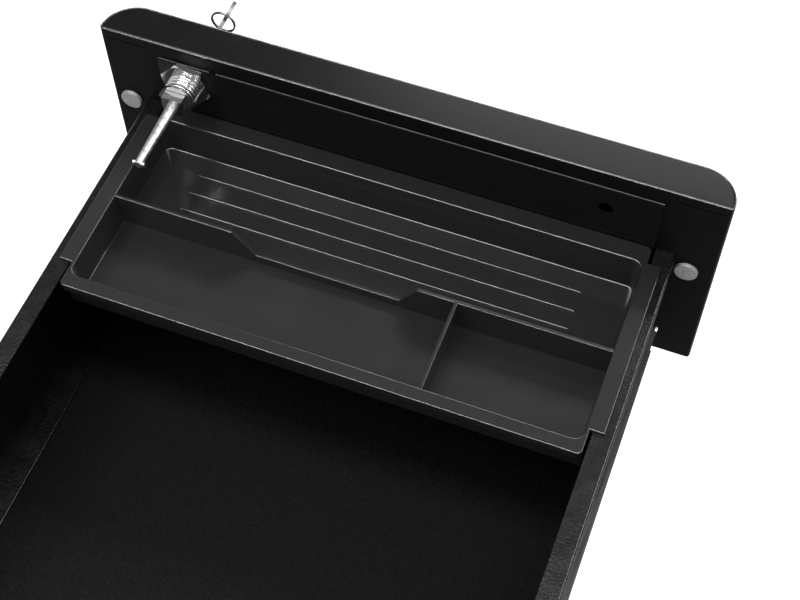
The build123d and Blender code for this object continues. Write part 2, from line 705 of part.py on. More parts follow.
LEVER_UPPER = ((0.0, 1.4), (14.0, -1.2), (30.0, -7.0))
LEVER_LOWER = ((29.0, -9.6), (13.2, -3.9), (0.0, -1.4))
pivot_y = CASTER_TRAIL + PIVOT_BACK
pivot_z = WHEEL_R + PIVOT_RISE


def caster_plate(x, y):
    plate = block(x - PLATE_HALF, x + PLATE_HALF, y - PLATE_HALF, y + PLATE_HALF, plate_low, CASTER_HEIGHT)
    plate += rod_z(x, y, fork_high + CLEAR, plate_low, RACE_R)
    plate += rod_z(x, y, fork_low - CLEAR - HEAD_THICK, plate_low, KINGPIN_R)
    plate += rod_z(x, y, fork_low - CLEAR - HEAD_THICK, fork_low - CLEAR, KINGPIN_R + HEAD_EDGE)
    for dx in (-SCREW_AT, SCREW_AT):
        for dy in (-SCREW_AT, SCREW_AT):
            plate -= rod_z(x + dx, y + dy, plate_low - 1, CASTER_HEIGHT + 1, SCREW_SIZE / 2)
    return plate


def caster_fork(x, y, brake):
    fork = rod_z(x, y, fork_low, fork_high, RACE_R)
    nose = y - FORK_NOSE
    rear = y + pivot_y + FORK_TAIL
    fork += block(x - leg_out, x + leg_out, nose, rear, fork_low, fork_high)
    hub_y = y + CASTER_TRAIL
    foot = WHEEL_R - LEG_FOOT
    heel = foot + LEG_CHAMFER
    leg = [(nose, fork_high), (rear, fork_high), (rear, pivot_z - FORK_TAIL)]
    leg += [(hub_y + LEG_FOOT, heel), (hub_y + LEG_CHAMFER, foot)]
    leg += [(hub_y - LEG_CHAMFER, foot), (hub_y - LEG_FOOT, heel)]
    fork += prism_x(leg, x + leg_in, x + leg_out)
    fork += prism_x(leg, x - leg_out, x - leg_in)
    fork -= rod_z(x, y, fork_low - 1, fork_high + 1, KINGPIN_R + RUN)
    fork -= block(x - leg_in, x + leg_in, y + FORK_NOSE, rear + 1, fork_low - 1, fork_high + 1)
    fork -= rod_x(hub_y, WHEEL_R, x - leg_out - 1, x + leg_out + 1, AXLE_SIZE / 2)
    if brake:
        fork -= rod_x(y + pivot_y, pivot_z, x - leg_out - 1, x + leg_out + 1, PIVOT_R + RUN)
    return fork


def caster_axle(x, y):
    reach = leg_out + RIVET_THICK
    rivet_r = AXLE_SIZE / 2 + RIVET_EDGE
    axle = rod_x(y + CASTER_TRAIL, WHEEL_R, x - reach, x + reach, AXLE_SIZE / 2)
    axle += rod_x(y + CASTER_TRAIL, WHEEL_R, x + leg_out, x + reach, rivet_r)
    return axle + rod_x(y + CASTER_TRAIL, WHEEL_R, x - reach, x - leg_out, rivet_r)


def caster_wheel(x, y):
    half = WHEEL_WIDTH / 2
    wheel = rod_x(y + CASTER_TRAIL, WHEEL_R, x - half, x + half, WHEEL_R)
    rims = edges_at(wheel, x=x + half) + edges_at(wheel, x=x - half)
    wheel = fillet(rims, TYRE_ROUND)
    hollow_r = WHEEL_R - TYRE_THICK
    hollow = rod_x(y + CASTER_TRAIL, WHEEL_R, x + half - HOLLOW_DEEP, x + half + 1, hollow_r)
    hollow += rod_x(y + CASTER_TRAIL, WHEEL_R, x - half - 1, x - half + HOLLOW_DEEP, hollow_r)
    hollow -= rod_x(y + CASTER_TRAIL, WHEEL_R, x - half - 2, x + half + 2, AXLE_SIZE / 2 + HUB_WALL)
    wheel -= hollow
    return wheel - rod_x(y + CASTER_TRAIL, WHEEL_R, x - half - 1, x + half + 1, AXLE_SIZE / 2 + RUN)


def brake_lever(x, y):
    """A pedal on a cross pin; it is drawn pressed down and then lifted to rest."""
    wide = leg_in - LEVER_GAP
    py = y + pivot_y
    lever = rod_x(py, pivot_z, x - leg_out, x + leg_out, PIVOT_R)
    lever += rod_x(py, pivot_z, x - wide, x + wide, PIVOT_R + LEVER_EYE)
    arm = [(py + along, pivot_z + up) for along, up in LEVER_UPPER + LEVER_LOWER]
    lever += prism_x(arm, x - wide, x + wide)
    turn = Pos(x, py, pivot_z) * Rot(BRAKE_SWING, 0, 0) * Pos(-x, -py, -pivot_z)
    return turn * lever


write("caster_plates", *[caster_plate(x, y) for name, x, y in caster_spots])
SCREW_HEAD = 3.0
SCREW_EDGE = 2.0
screws = []
for x, y in screw_spots:
    screw = rod_z(x, y, plate_low - SCREW_HEAD, plate_low, SCREW_SIZE / 2 + SCREW_EDGE)
    screws.append(screw + rod_z(x, y, plate_low, base_top + SCREW_HEAD, SCREW_SIZE / 2))
write("caster_screws", *screws)
for name, x, y in caster_spots:
    brake = name.startswith("front")
    write(f"caster_fork_{name}", caster_fork(x, y, brake))
    write(f"caster_axle_{name}", caster_axle(x, y))
    write(f"caster_wheel_{name}", caster_wheel(x, y))
    if brake:
        write(f"brake_lever_{name}", brake_lever(x, y))
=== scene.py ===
# %% [markdown]
# # A rolling drawer cart with its top drawer pulled out
# The real thing is a black sheet-steel drawer cart that stands under a desk. We look down into its open top
# drawer. The shapes come from the CAD model, which is loaded as a fixed frame: every object is in metres and
# in place. What is left for Blender is what a drawing cannot say: finishes, a few small fittings, light and a
# camera.

# %% Load the cart
import math

import bmesh
import bpy
import numpy as np
from mathutils import Matrix, Vector


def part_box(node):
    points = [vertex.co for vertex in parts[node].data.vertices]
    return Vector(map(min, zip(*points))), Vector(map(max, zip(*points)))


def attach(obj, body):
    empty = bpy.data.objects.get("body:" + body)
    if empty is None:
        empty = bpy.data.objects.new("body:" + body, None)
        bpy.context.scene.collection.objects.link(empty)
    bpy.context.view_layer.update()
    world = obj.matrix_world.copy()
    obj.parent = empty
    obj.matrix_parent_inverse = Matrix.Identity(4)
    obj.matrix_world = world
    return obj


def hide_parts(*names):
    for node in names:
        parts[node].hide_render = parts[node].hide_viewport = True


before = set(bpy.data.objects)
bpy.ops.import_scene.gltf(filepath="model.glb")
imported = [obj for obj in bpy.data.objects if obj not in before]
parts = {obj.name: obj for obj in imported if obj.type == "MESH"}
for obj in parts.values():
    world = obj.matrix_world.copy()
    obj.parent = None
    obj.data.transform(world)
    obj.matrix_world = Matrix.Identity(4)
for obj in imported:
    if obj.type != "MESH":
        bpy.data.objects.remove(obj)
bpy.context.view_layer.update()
scene = bpy.context.scene

# %% [markdown]
# ## Finishes: how each one is built
# Paint, plastic and plating all differ in three ways: how dark they are, how sharply they reflect, and how
# fine their grain is. So each finish is one Principled shader whose constants sit on its own sockets, and a
# noise on Object coordinates adds the grain. Object coordinates are metres here, so a noise scale of 900
# gives spots of about a millimetre.

# %% A finish and its grain
def new_finish(name, colour, **sockets):
    """A Principled finish: every constant is set on the shader's own socket."""
    material = bpy.data.materials.new(name)
    material.use_nodes = True
    shader = material.node_tree.nodes["Principled BSDF"]
    shader.inputs["Base Color"].default_value = (*colour, 1.0)
    for socket, value in sockets.items():
        shader.inputs[socket.replace("_", " ")].default_value = value
    return material


def grain(material, scale, detail=3.0, stretch=(1.0, 1.0, 1.0)):
    """A noise on Object coordinates; stretch above 1 along an axis packs the grain tighter that way."""
    tree = material.node_tree
    coordinates = tree.nodes.new("ShaderNodeTexCoord")
    mapping = tree.nodes.new("ShaderNodeMapping")
    mapping.inputs["Scale"].default_value = stretch
    noise = tree.nodes.new("ShaderNodeTexNoise")
    noise.inputs["Scale"].default_value = scale
    noise.inputs["Detail"].default_value = detail
    tree.links.new(coordinates.outputs["Object"], mapping.inputs["Vector"])
    tree.links.new(mapping.outputs["Vector"], noise.inputs["Vector"])
    return noise.outputs["Fac"]


print("helpers ready: new_finish, grain")

# %% [markdown]
# ## Finishes: what the grain does
# One noise can drive several things at once: how dark a spot is, how sharply it reflects and how high it
# stands. On a real surface these go together, since a scratch is both duller and deeper. Each is a small node
# and a function of its own here, so that every finish takes only what it needs.

# %% Colour, polish and relief from the grain
GRAIN_LOW = 0.3
GRAIN_HIGH = 0.7


def tint(material, factor, low, high, start=0.35, end=0.65):
    """The colour runs from low to high as the noise runs from start to end."""
    tree = material.node_tree
    ramp = tree.nodes.new("ShaderNodeValToRGB")
    ramp.color_ramp.elements[0].position = start
    ramp.color_ramp.elements[1].position = end
    ramp.color_ramp.elements[0].color = (*low, 1.0)
    ramp.color_ramp.elements[1].color = (*high, 1.0)
    tree.links.new(factor, ramp.inputs["Fac"])
    tree.links.new(ramp.outputs["Color"], tree.nodes["Principled BSDF"].inputs["Base Color"])


def polish(material, factor, low, high):
    """The roughness runs from low to high with the noise."""
    tree = material.node_tree
    spread = tree.nodes.new("ShaderNodeMapRange")
    spread.inputs["From Min"].default_value = GRAIN_LOW
    spread.inputs["From Max"].default_value = GRAIN_HIGH
    spread.inputs["To Min"].default_value = low
    spread.inputs["To Max"].default_value = high
    tree.links.new(factor, spread.inputs["Value"])
    tree.links.new(spread.outputs["Result"], tree.nodes["Principled BSDF"].inputs["Roughness"])


def relief(material, factor, strength, height):
    """Bumps of that height in metres, from the noise."""
    tree = material.node_tree
    bump = tree.nodes.new("ShaderNodeBump")
    bump.inputs["Strength"].default_value = strength
    bump.inputs["Distance"].default_value = height
    tree.links.new(factor, bump.inputs["Height"])
    tree.links.new(bump.outputs["Normal"], tree.nodes["Principled BSDF"].inputs["Normal"])


def dress(material, *names):
    """Gives a finish to CAD parts by name."""
    for name in names:
        parts[name].data.materials.clear()
        parts[name].data.materials.append(material)


print("helpers ready: tint, polish, relief, dress")

# %% [markdown]
# ## Black powder coat on the fronts
# The fronts are sprayed with powder and baked: a smooth, satin black. Its colour is scaled by the surface's
# own
# direction, a painted shade: in this model the outside of every front looks along -Y and is painted lighter,
# and its folded back looks along +Y and is painted blacker. The back is also duller, with a higher roughness.
# A very fine relief breaks reflections up.

# %% Smooth coat on the fronts
BACK_STARTS = 0.6
BACK_FULL = 0.9


def painted_shade_by_facing(material, outside, inside, dullness):
    """The normal's Y part scales the colour, from outside at -1 to inside at +1.

    Near +1, on the back of a front, the roughness is at least the dullness.
    """
    tree = material.node_tree
    base = tree.nodes["Principled BSDF"].inputs["Base Color"]
    rough = tree.nodes["Principled BSDF"].inputs["Roughness"]
    coordinates = tree.nodes.new("ShaderNodeTexCoord")
    axes = tree.nodes.new("ShaderNodeSeparateXYZ")
    amount = tree.nodes.new("ShaderNodeMapRange")
    amount.inputs["From Min"].default_value = -1.0
    amount.inputs["To Min"].default_value = outside
    amount.inputs["To Max"].default_value = inside
    # This scale is a painted shade: the back of a front blacker, its outside lighter.
    coat = tree.nodes.new("ShaderNodeVectorMath")
    coat.operation = "SCALE"
    back = tree.nodes.new("ShaderNodeMapRange")
    back.inputs["From Min"].default_value = BACK_STARTS
    back.inputs["From Max"].default_value = BACK_FULL
    back.inputs["To Max"].default_value = dullness
    dull = tree.nodes.new("ShaderNodeMath")
    dull.operation = "MAXIMUM"
    tree.links.new(coordinates.outputs["Normal"], axes.inputs["Vector"])
    tree.links.new(axes.outputs["Y"], amount.inputs["Value"])
    tree.links.new(base.links[0].from_socket, coat.inputs["Vector"])
    tree.links.new(amount.outputs["Result"], coat.inputs["Scale"])
    tree.links.new(coat.outputs["Vector"], base)
    tree.links.new(axes.outputs["Y"], back.inputs["Value"])
    tree.links.new(rough.links[0].from_socket, dull.inputs[0])
    tree.links.new(back.outputs["Result"], dull.inputs[1])
    tree.links.new(dull.outputs["Value"], rough)


powder_coat = new_finish("black_powder_coat", (0.008, 0.008, 0.0082), Specular_IOR_Level=0.08)
coat_grain = grain(powder_coat, 1400.0)
tint(powder_coat, coat_grain, (0.007, 0.007, 0.0072), (0.010, 0.010, 0.0102))
polish(powder_coat, grain(powder_coat, 60.0), 0.23, 0.28)
relief(powder_coat, coat_grain, 0.08, 0.00002)
# Painted shade: 1.7 times the colour on the outside of a front, 0.35 times on its back.
painted_shade_by_facing(powder_coat, 1.7, 0.35, 0.65)
DRAWERS = ("bottom", "middle", "top")
front_parts = [f"{drawer}_front_panel" for drawer in DRAWERS]
dress(powder_coat, *front_parts)
print("smooth coat on", len(front_parts), "fronts")

# %% [markdown]
# ## Black powder coat inside and on the body
# The plates behind the fronts and the posts for the slides sit in corners where little powder reaches, so
# their coat is thin and dull. The body is sprayed flat and in the open and comes out more satin. Each is the
# same finish with its own numbers, which is simpler than one material with a switch.

# %% Thin coat inside, satin coat outside
plate_coat = new_finish("thin_inside_coat", (0.008, 0.008, 0.0082), Specular_IOR_Level=0.07)
plate_grain = grain(plate_coat, 1400.0)
tint(plate_coat, plate_grain, (0.009, 0.009, 0.0092), (0.013, 0.013, 0.0132))
polish(plate_coat, grain(plate_coat, 60.0), 0.24, 0.3)
plate_parts = [f"{drawer}_inner_plate" for drawer in DRAWERS] + ["slide_posts", "lock_keeper"]
dress(plate_coat, *plate_parts)

body_coat = new_finish("satin_body_coat", (0.010, 0.010, 0.0104), Specular_IOR_Level=0.16)
body_grain = grain(body_coat, 1100.0)
tint(body_coat, body_grain, (0.0085, 0.0085, 0.0088), (0.0125, 0.0125, 0.0129))
polish(body_coat, grain(body_coat, 30.0), 0.34, 0.42)
relief(body_coat, body_grain, 0.25, 0.00004)
body_parts = ["side_panel_right", "side_panel_left", "back_panel", "top_panel", "base_panel", "plinth_rail"]
dress(body_coat, *body_parts)
print("thin coat on", len(plate_parts), "inside parts, satin coat on", len(body_parts), "body parts")

# %% [markdown]
# ## Textured powder coat
# The drawer boxes have the same black in a coarser, dimpled coat, like the skin of an orange. It is easy to
# see on the flange beside the tray. The same finish with larger and taller bumps does it.

# %% Dimpled powder coat on the drawer walls
dimpled_coat = new_finish("dimpled_powder_coat", (0.006, 0.006, 0.0064), Specular_IOR_Level=0.18)
dimples = grain(dimpled_coat, 620.0, detail=2.0)
tint(dimpled_coat, dimples, (0.004, 0.004, 0.0043), (0.009, 0.009, 0.0095))
polish(dimpled_coat, grain(dimpled_coat, 90.0), 0.22, 0.28)
relief(dimpled_coat, dimples, 0.6, 0.00025)
wall_parts = [f"{drawer}_{piece}" for drawer in DRAWERS for piece in ("side_walls", "back_wall")]
dress(dimpled_coat, *wall_parts)
print("dimpled powder coat on", len(wall_parts), "parts")

# %% [markdown]
# ## The drawer floors
# The floor of each drawer is the most matt surface on the cart, with a faint pale speckle. High roughness
# keeps it dark, and a sharp ramp on a fine noise leaves only a few lighter specks.

# %% Matt speckled floor
floor_coat = new_finish("matt_floor_coat", (0.011, 0.011, 0.0115), Roughness=0.72, Specular_IOR_Level=0.02)
specks = grain(floor_coat, 900.0, detail=4.0)
tint(floor_coat, specks, (0.009, 0.009, 0.0095), (0.022, 0.022, 0.0225), start=0.45, end=0.75)
relief(floor_coat, specks, 0.5, 0.00012)
dress(floor_coat, *[f"{drawer}_floor" for drawer in DRAWERS])
print("matt floors:", len(DRAWERS))

# %% [markdown]
# ## The moulded tray
# The pen tray is injection-moulded black plastic with a half-gloss skin that mirrors the lock faintly. It is
# smoother than the paint, so its roughness is lower and its grain finer.

# %% Half-gloss tray plastic
tray_plastic = new_finish("half_gloss_tray_plastic", (0.034, 0.034, 0.0345), Specular_IOR_Level=0.3)
skin = grain(tray_plastic, 2200.0, detail=2.0)
tint(tray_plastic, skin, (0.029, 0.029, 0.0295), (0.039, 0.039, 0.0395))
polish(tray_plastic, grain(tray_plastic, 40.0), 0.14, 0.19)
relief(tray_plastic, skin, 0.15, 0.00003)
dress(tray_plastic, "pen_tray")
print("tray plastic on the pen tray")

# %% [markdown]
# ## Chrome for the lock
# The lock's barrel, plug and nut are turned on a lathe and plated, so fine rings run round them. The rings
# are a noise squeezed along the lock's axis, which is Y. Chrome is all reflection: metallic 1 and a low
# roughness. The long tail is cast, tumbled and thinly plated, so it is darker and softer.

# %% Turned chrome and a tumbled tail
lock_chrome = new_finish("turned_chrome", (0.6, 0.6, 0.61), Metallic=1.0)
turning = grain(lock_chrome, 60.0, detail=2.0, stretch=(1.0, 60.0, 1.0))
tint(lock_chrome, turning, (0.52, 0.52, 0.53), (0.68, 0.68, 0.69))
polish(lock_chrome, turning, 0.1, 0.18)
relief(lock_chrome, turning, 0.05, 0.00003)
lock_parts = ("lock_housing", "lock_nut", "lock_plug")
dress(lock_chrome, *lock_parts)

tail_plating = new_finish("tumbled_tail_plating", (0.22, 0.22, 0.22), Metallic=1.0)
tumbling = grain(tail_plating, 420.0)
tint(tail_plating, tumbling, (0.18, 0.18, 0.18), (0.26, 0.26, 0.26))
polish(tail_plating, tumbling, 0.36, 0.48)
dress(tail_plating, "lock_tail")
print("chrome on", len(lock_parts), "parts, duller plating on the tail")

# %% [markdown]
# ## Keys and their ring
# The keys are stamped from nickel silver and go dull in use, so they are darker and rougher than the lock,
# with a soft cloud over them. Against a white background a brighter metal would vanish. The ring is hard,
# dark spring steel.

# %% Dull nickel and spring steel
key_nickel = new_finish("dull_nickel", (0.07, 0.07, 0.068), Metallic=1.0)
handling = grain(key_nickel, 240.0, detail=4.0)
tint(key_nickel, handling, (0.05, 0.05, 0.0488), (0.095, 0.095, 0.0925))
polish(key_nickel, handling, 0.46, 0.58)
dress(key_nickel, "key", "spare_key")

spring_steel = new_finish("dark_spring_steel", (0.12, 0.12, 0.12), Metallic=1.0)
temper = grain(spring_steel, 700.0)
tint(spring_steel, temper, (0.09, 0.09, 0.09), (0.16, 0.16, 0.16))
polish(spring_steel, temper, 0.22, 0.36)
print("nickel on the keys, spring steel for the ring")

# %% [markdown]
# ## Blackened slides
# The slides are rolled from steel strip and blackened, with their cages and balls in the same dark, oily
# film. The rolling leaves long streaks, so the noise is stretched along Y. Metallic 0.6 lets a little of the
# black film show.

# %% Slide steel
slide_steel = new_finish("blackened_slide_steel", (0.022, 0.022, 0.023), Metallic=0.6)
drawn = grain(slide_steel, 700.0, detail=2.0, stretch=(1.0, 0.03, 1.0))
tint(slide_steel, drawn, (0.016, 0.016, 0.0165), (0.032, 0.032, 0.033))
polish(slide_steel, drawn, 0.3, 0.42)
slide_parts = ["slide_cabinet_members"]
slide_parts += [f"{drawer}_slide_{piece}" for drawer in DRAWERS for piece in ("members", "middles", "balls")]
dress(slide_steel, *slide_parts)
print("slide steel on", len(slide_parts), "parts")

# %% [markdown]
# ## Grey bumpers
# Two round rubber bumpers on the back of each front stop the drawer without a bang. They are pale grey and a
# little mottled. A fine noise gives the mottle, and the same noise as a low relief takes away the look of
# hard plastic.

# %% Bumper rubber
bumper_rubber = new_finish("grey_bumper_rubber", (0.48, 0.48, 0.49), Roughness=0.55)
mottle = grain(bumper_rubber, 500.0)
tint(bumper_rubber, mottle, (0.40, 0.40, 0.41), (0.56, 0.56, 0.57))
relief(bumper_rubber, mottle, 0.2, 0.0001)
dress(bumper_rubber, *[f"{drawer}_bumpers" for drawer in DRAWERS])
print("bumper rubber on", len(DRAWERS), "fronts")

# %% [markdown]
# ## Zinc on the casters
# The plates, forks, axles and screws of the casters are dipped in zinc, which dries to soft clouds. A coarse
# noise with much detail drives both the grey and the roughness, so that a paler cloud is also a duller one.

# %% Cloudy zinc
zinc = new_finish("cloudy_zinc", (0.55, 0.56, 0.58), Metallic=1.0)
cloud = grain(zinc, 130.0, detail=5.0)
tint(zinc, cloud, (0.46, 0.47, 0.49), (0.66, 0.67, 0.68))
polish(zinc, cloud, 0.28, 0.42)
CORNERS = [f"{end}_{hand}" for end in ("front", "rear") for hand in ("right", "left")]
zinc_parts = ["caster_plates", "caster_screws"]
zinc_parts += [f"caster_{piece}_{corner}" for piece in ("fork", "axle") for corner in CORNERS]
dress(zinc, *zinc_parts)
print("zinc on", len(zinc_parts), "parts")

# %% [markdown]
# ## Rubber tyres and plastic brake levers
# Tyres and levers are both nearly black, but they do not shine alike. Scuffed rubber scatters all light, and
# a moulded lever has a fine, even grain with a faint sheen. So the rubber has one high roughness and the
# lever a grained one.

# %% Tyre rubber and lever plastic
tyre_rubber = new_finish("tyre_rubber", (0.03, 0.03, 0.032), Roughness=0.6)
scuff = grain(tyre_rubber, 350.0, detail=5.0)
tint(tyre_rubber, scuff, (0.022, 0.022, 0.024), (0.05, 0.05, 0.052))
relief(tyre_rubber, scuff, 0.25, 0.0001)
dress(tyre_rubber, *[f"caster_wheel_{corner}" for corner in CORNERS])

brake_plastic = new_finish("brake_plastic", (0.03, 0.03, 0.032), Specular_IOR_Level=0.4)
brake_grain = grain(brake_plastic, 1500.0)
tint(brake_plastic, brake_grain, (0.025, 0.025, 0.026), (0.04, 0.04, 0.042))
polish(brake_plastic, brake_grain, 0.45, 0.6)
dress(brake_plastic, "brake_lever_front_right", "brake_lever_front_left")
print("rubber on", len(CORNERS), "wheels, plastic on 2 levers")

# %% [markdown]
# ## New pieces: a grid of points becomes a surface
# The CAD model keeps small fittings plain. The ones that catch the eye get a fuller shape here. Each is a
# formula of two parameters, worked out for a whole grid at once with numpy, so there is no modelling by hand
# and every size can be read. Where a row of the grid shrinks to one point, that pole is merged, and the faces
# are turned outwards by the sign of the enclosed volume.

# %% A helper that turns grids into one closed piece
SAME_POINT = 1e-7


def surface(name, grids, finish, body, sharp=40.0):
    """One mesh from closed grids of points[u, v].

    v always runs round, and u runs round too unless its two ends are poles.
    """
    points = []
    quads = []
    for grid in grids:
        rows, columns = grid.shape[:2]
        index = np.arange(rows * columns).reshape(rows, columns) + sum(len(block) for block in points)
        capped = np.ptp(grid[0], axis=0).max() < SAME_POINT
        index = index if capped else np.vstack([index, index[:1]])
        index = np.hstack([index, index[:, :1]])
        rounds = [index[:-1, :-1], index[1:, :-1], index[1:, 1:], index[:-1, 1:]]
        faces = np.stack(rounds, axis=-1).reshape(-1, 4)
        points.append(grid.reshape(-1, 3))
        corner = np.concatenate(points)[faces] - grid.reshape(-1, 3).mean(axis=0)
        first = np.einsum("ij,ij->i", corner[:, 0], np.cross(corner[:, 1], corner[:, 2]))
        second = np.einsum("ij,ij->i", corner[:, 0], np.cross(corner[:, 2], corner[:, 3]))
        quads.append(faces if (first + second).sum() > 0 else faces[:, ::-1])
    mesh = bpy.data.meshes.new(name)
    mesh.from_pydata(np.concatenate(points).tolist(), [], np.concatenate(quads).tolist())
    work = bmesh.new()
    work.from_mesh(mesh)
    bmesh.ops.remove_doubles(work, verts=work.verts, dist=SAME_POINT)
    work.to_mesh(mesh)
    work.free()
    mesh.polygons.foreach_set("use_smooth", np.ones(len(mesh.polygons), dtype=bool))
    mesh.set_sharp_from_angle(angle=math.radians(sharp))
    mesh.materials.append(finish)
    piece = bpy.data.objects.new(name, mesh)
    scene.collection.objects.link(piece)
    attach(piece, body)
    return piece


# %% Two helpers for the formulas
def squared(wave):
    """The wave with its sign kept and the root of its size, which squares a round section off."""
    return np.sign(wave) * np.sqrt(np.abs(wave))


def around(count):
    """Equal angles round a full turn."""
    return np.linspace(0.0, 2.0 * np.pi, count, endpoint=False)


print("helpers ready: surface, squared, around")

# %% [markdown]
# ## The split key ring
# A real key ring is two turns of flat wire lying side by side, with a step where the wire crosses over and
# two rounded ends. A torus would look like a washer. Here a squared-off oval is carried along the wire's
# path: the angle runs through two turns, and the place along the ring's axis moves over by one wire in a
# short, smooth step.

# %% Split ring
RING_START = math.radians(200.0)
RING_TURNS = 2.0
CROSSING_START = 0.44
CROSSING_RUN = 0.12
ROUNDED_END = 0.015
WIRE_FILL = 0.96
WIRE_DEPTH = 0.9
WIRE_STEPS = 241
WIRE_SIDES = 16


def split_ring(centre, radius, wire_wide, wire_deep):
    """Point = centre + (radius + deep * c) * (cos a, 0, sin a) + (shift + wide * s) * (0, 1, 0).

    a runs through two turns, c and s go round the squared-off section, and shift steps over at the crossing.
    """
    run = np.linspace(0.0, 1.0, WIRE_STEPS)[:, None]
    section = around(WIRE_SIDES)[None, :]
    angle = RING_START + RING_TURNS * 2.0 * np.pi * run
    over = np.clip((run - CROSSING_START) / CROSSING_RUN, 0.0, 1.0)
    shift = wire_wide * (over * over * (3.0 - 2.0 * over) - 0.5)
    end = np.clip((np.abs(2.0 * run - 1.0) - 1.0 + ROUNDED_END) / ROUNDED_END, 0.0, 1.0)
    swell = np.sqrt(np.clip(1.0 - end * end, 0.0, 1.0))
    out = radius + swell * wire_deep / 2.0 * squared(np.cos(section))
    along = shift + swell * wire_wide / 2.0 * WIRE_FILL * squared(np.sin(section))
    return np.array(centre) + np.stack([out * np.cos(angle), along, out * np.sin(angle)], axis=-1)


ring_low, ring_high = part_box("key_ring")
ring_middle = (ring_low + ring_high) / 2.0
wire = ring_high.y - ring_low.y
ring_radius = (ring_high.x - ring_low.x) / 2.0 - wire / 2.0
ring_grid = split_ring(ring_middle, ring_radius, wire / 2.0, wire * WIRE_DEPTH)
key_ring = surface("split_key_ring", [ring_grid], spring_steel, "key_ring")
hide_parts("key_ring")
print("split ring:", len(key_ring.data.polygons), "faces, wire", round(wire * 1000, 2), "mm")

# %% [markdown]
# ## The thread behind the nut
# Between the six-sided nut and the washer the lock's barrel shows its thread as bright and dark rings. A
# screw thread is a helix, but at this size a stack of rings looks the same and closes by itself. So one
# profile, a row of rounded ridges, is turned round the lock's axis. Where it starts and ends is measured on
# the points of the barrel and the nut.

# %% Thread ridges
RIDGES = 4
RIDGE_RISE = 0.0006
RIDGE_SINK = 0.0004
RIDGE_STEPS = 16
THREAD_SIDES = 120
ON_PLANE = 1e-5
NUT_SHARE = 1.4
WASHER_CLEAR = 0.001


def points_of(name):
    """All points of a CAD part as one array."""
    mesh = parts[name].data
    flat = np.empty(3 * len(mesh.vertices))
    mesh.vertices.foreach_get("co", flat)
    return flat.reshape(-1, 3)


def ridges(x, z, barrel, start, end):
    """Outside: radius = barrel - sink + (rise + sink) * sin^2 over each ridge; inside: barrel - 2 * sink."""
    turn_angle = around(THREAD_SIDES)[:, None]
    along = np.linspace(0.0, 1.0, RIDGE_STEPS * RIDGES + 1)
    outside = barrel - RIDGE_SINK + (RIDGE_RISE + RIDGE_SINK) * np.sin(np.pi * RIDGES * along) ** 2
    radius = np.concatenate([outside, np.full(len(along), barrel - 2.0 * RIDGE_SINK)])[None, :]
    y = (start + (end - start) * np.concatenate([along, along[::-1]]))[None, :] * np.ones_like(turn_angle)
    return np.stack([x + radius * np.cos(turn_angle), y, z + radius * np.sin(turn_angle)], axis=-1)


barrel_low, barrel_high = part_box("lock_housing")
axis = np.array([barrel_low.x + barrel_high.x, 0.0, barrel_low.z + barrel_high.z]) / 2.0
barrel_points, nut_points = points_of("lock_housing"), points_of("lock_nut")
barrel_reach = np.linalg.norm((barrel_points - axis)[:, [0, 2]], axis=1)
nut_reach = np.linalg.norm((nut_points - axis)[:, [0, 2]], axis=1)
barrel = barrel_reach[barrel_points[:, 1] > barrel_high.y - ON_PLANE].max()
thread_start = nut_points[nut_reach > NUT_SHARE * barrel, 1].max()
thread_end = nut_points[nut_points[:, 1] > thread_start + WASHER_CLEAR, 1].min()
thread_grid = ridges(axis[0], axis[2], barrel, thread_start, thread_end)
surface("lock_thread", [thread_grid], lock_chrome, "top_drawer")
print("thread:", RIDGES, "ridges on a barrel of radius", round(barrel * 1000, 2), "mm")

# %% [markdown]
# ## Fold lines of the fronts
# Where the sheet of a front is folded over at the top, hands rub the coat smooth, and the fold shines as a
# thin line all round. A bevel on the CAD part would change it, so a fine bead is laid into the rounding
# instead: a small circle carried round the front's outline, which is four straight edges joined by four
# quarter circles.

# %% Fold lines
FOLD_RADIUS = 0.0005
FOLD_SIDES = 12
BEND_STEPS = 16
fold_coat = new_finish("rubbed_fold_coat", (0.010, 0.010, 0.0102), Specular_IOR_Level=0.6)
rubbing = grain(fold_coat, 1400.0)
tint(fold_coat, rubbing, (0.008, 0.008, 0.0082), (0.012, 0.012, 0.0122))
polish(fold_coat, rubbing, 0.2, 0.28)


def outline(half, face, back, face_round, back_round):
    """Quarter circles about four corner centres, walked anticlockwise.

    The jumps from one to the next are the straight edges.
    """
    quarter = np.linspace(0.0, np.pi / 2.0, BEND_STEPS)
    backs = [(1.0, back - back_round, back_round), (-1.0, back - back_round, back_round)]
    faces = [(-1.0, face + face_round, face_round), (1.0, face + face_round, face_round)]
    arcs = []
    for quarters, (side, middle_y, bend) in enumerate(backs + faces):
        middle_x = side * (half - bend)
        angle = quarter + quarters * np.pi / 2.0
        arcs.append(np.stack([middle_x + bend * np.cos(angle), middle_y + bend * np.sin(angle)], axis=-1))
    return np.concatenate(arcs)


def fold(path, height):
    """Point = path + radius * (cos a * outward + sin a * up).

    outward is at right angles to the path, in plan.
    """
    section = around(FOLD_SIDES)[None, :, None]
    along = np.roll(path, -1, axis=0) - np.roll(path, 1, axis=0)
    along /= np.linalg.norm(along, axis=1, keepdims=True)
    outward = np.stack([along[:, 1], -along[:, 0], np.zeros(len(path))], axis=-1)[:, None, :]
    core = np.column_stack([path, np.full(len(path), height)])[:, None, :]
    return core + FOLD_RADIUS * (np.cos(section) * outward + np.sin(section) * np.array([0.0, 0.0, 1.0]))


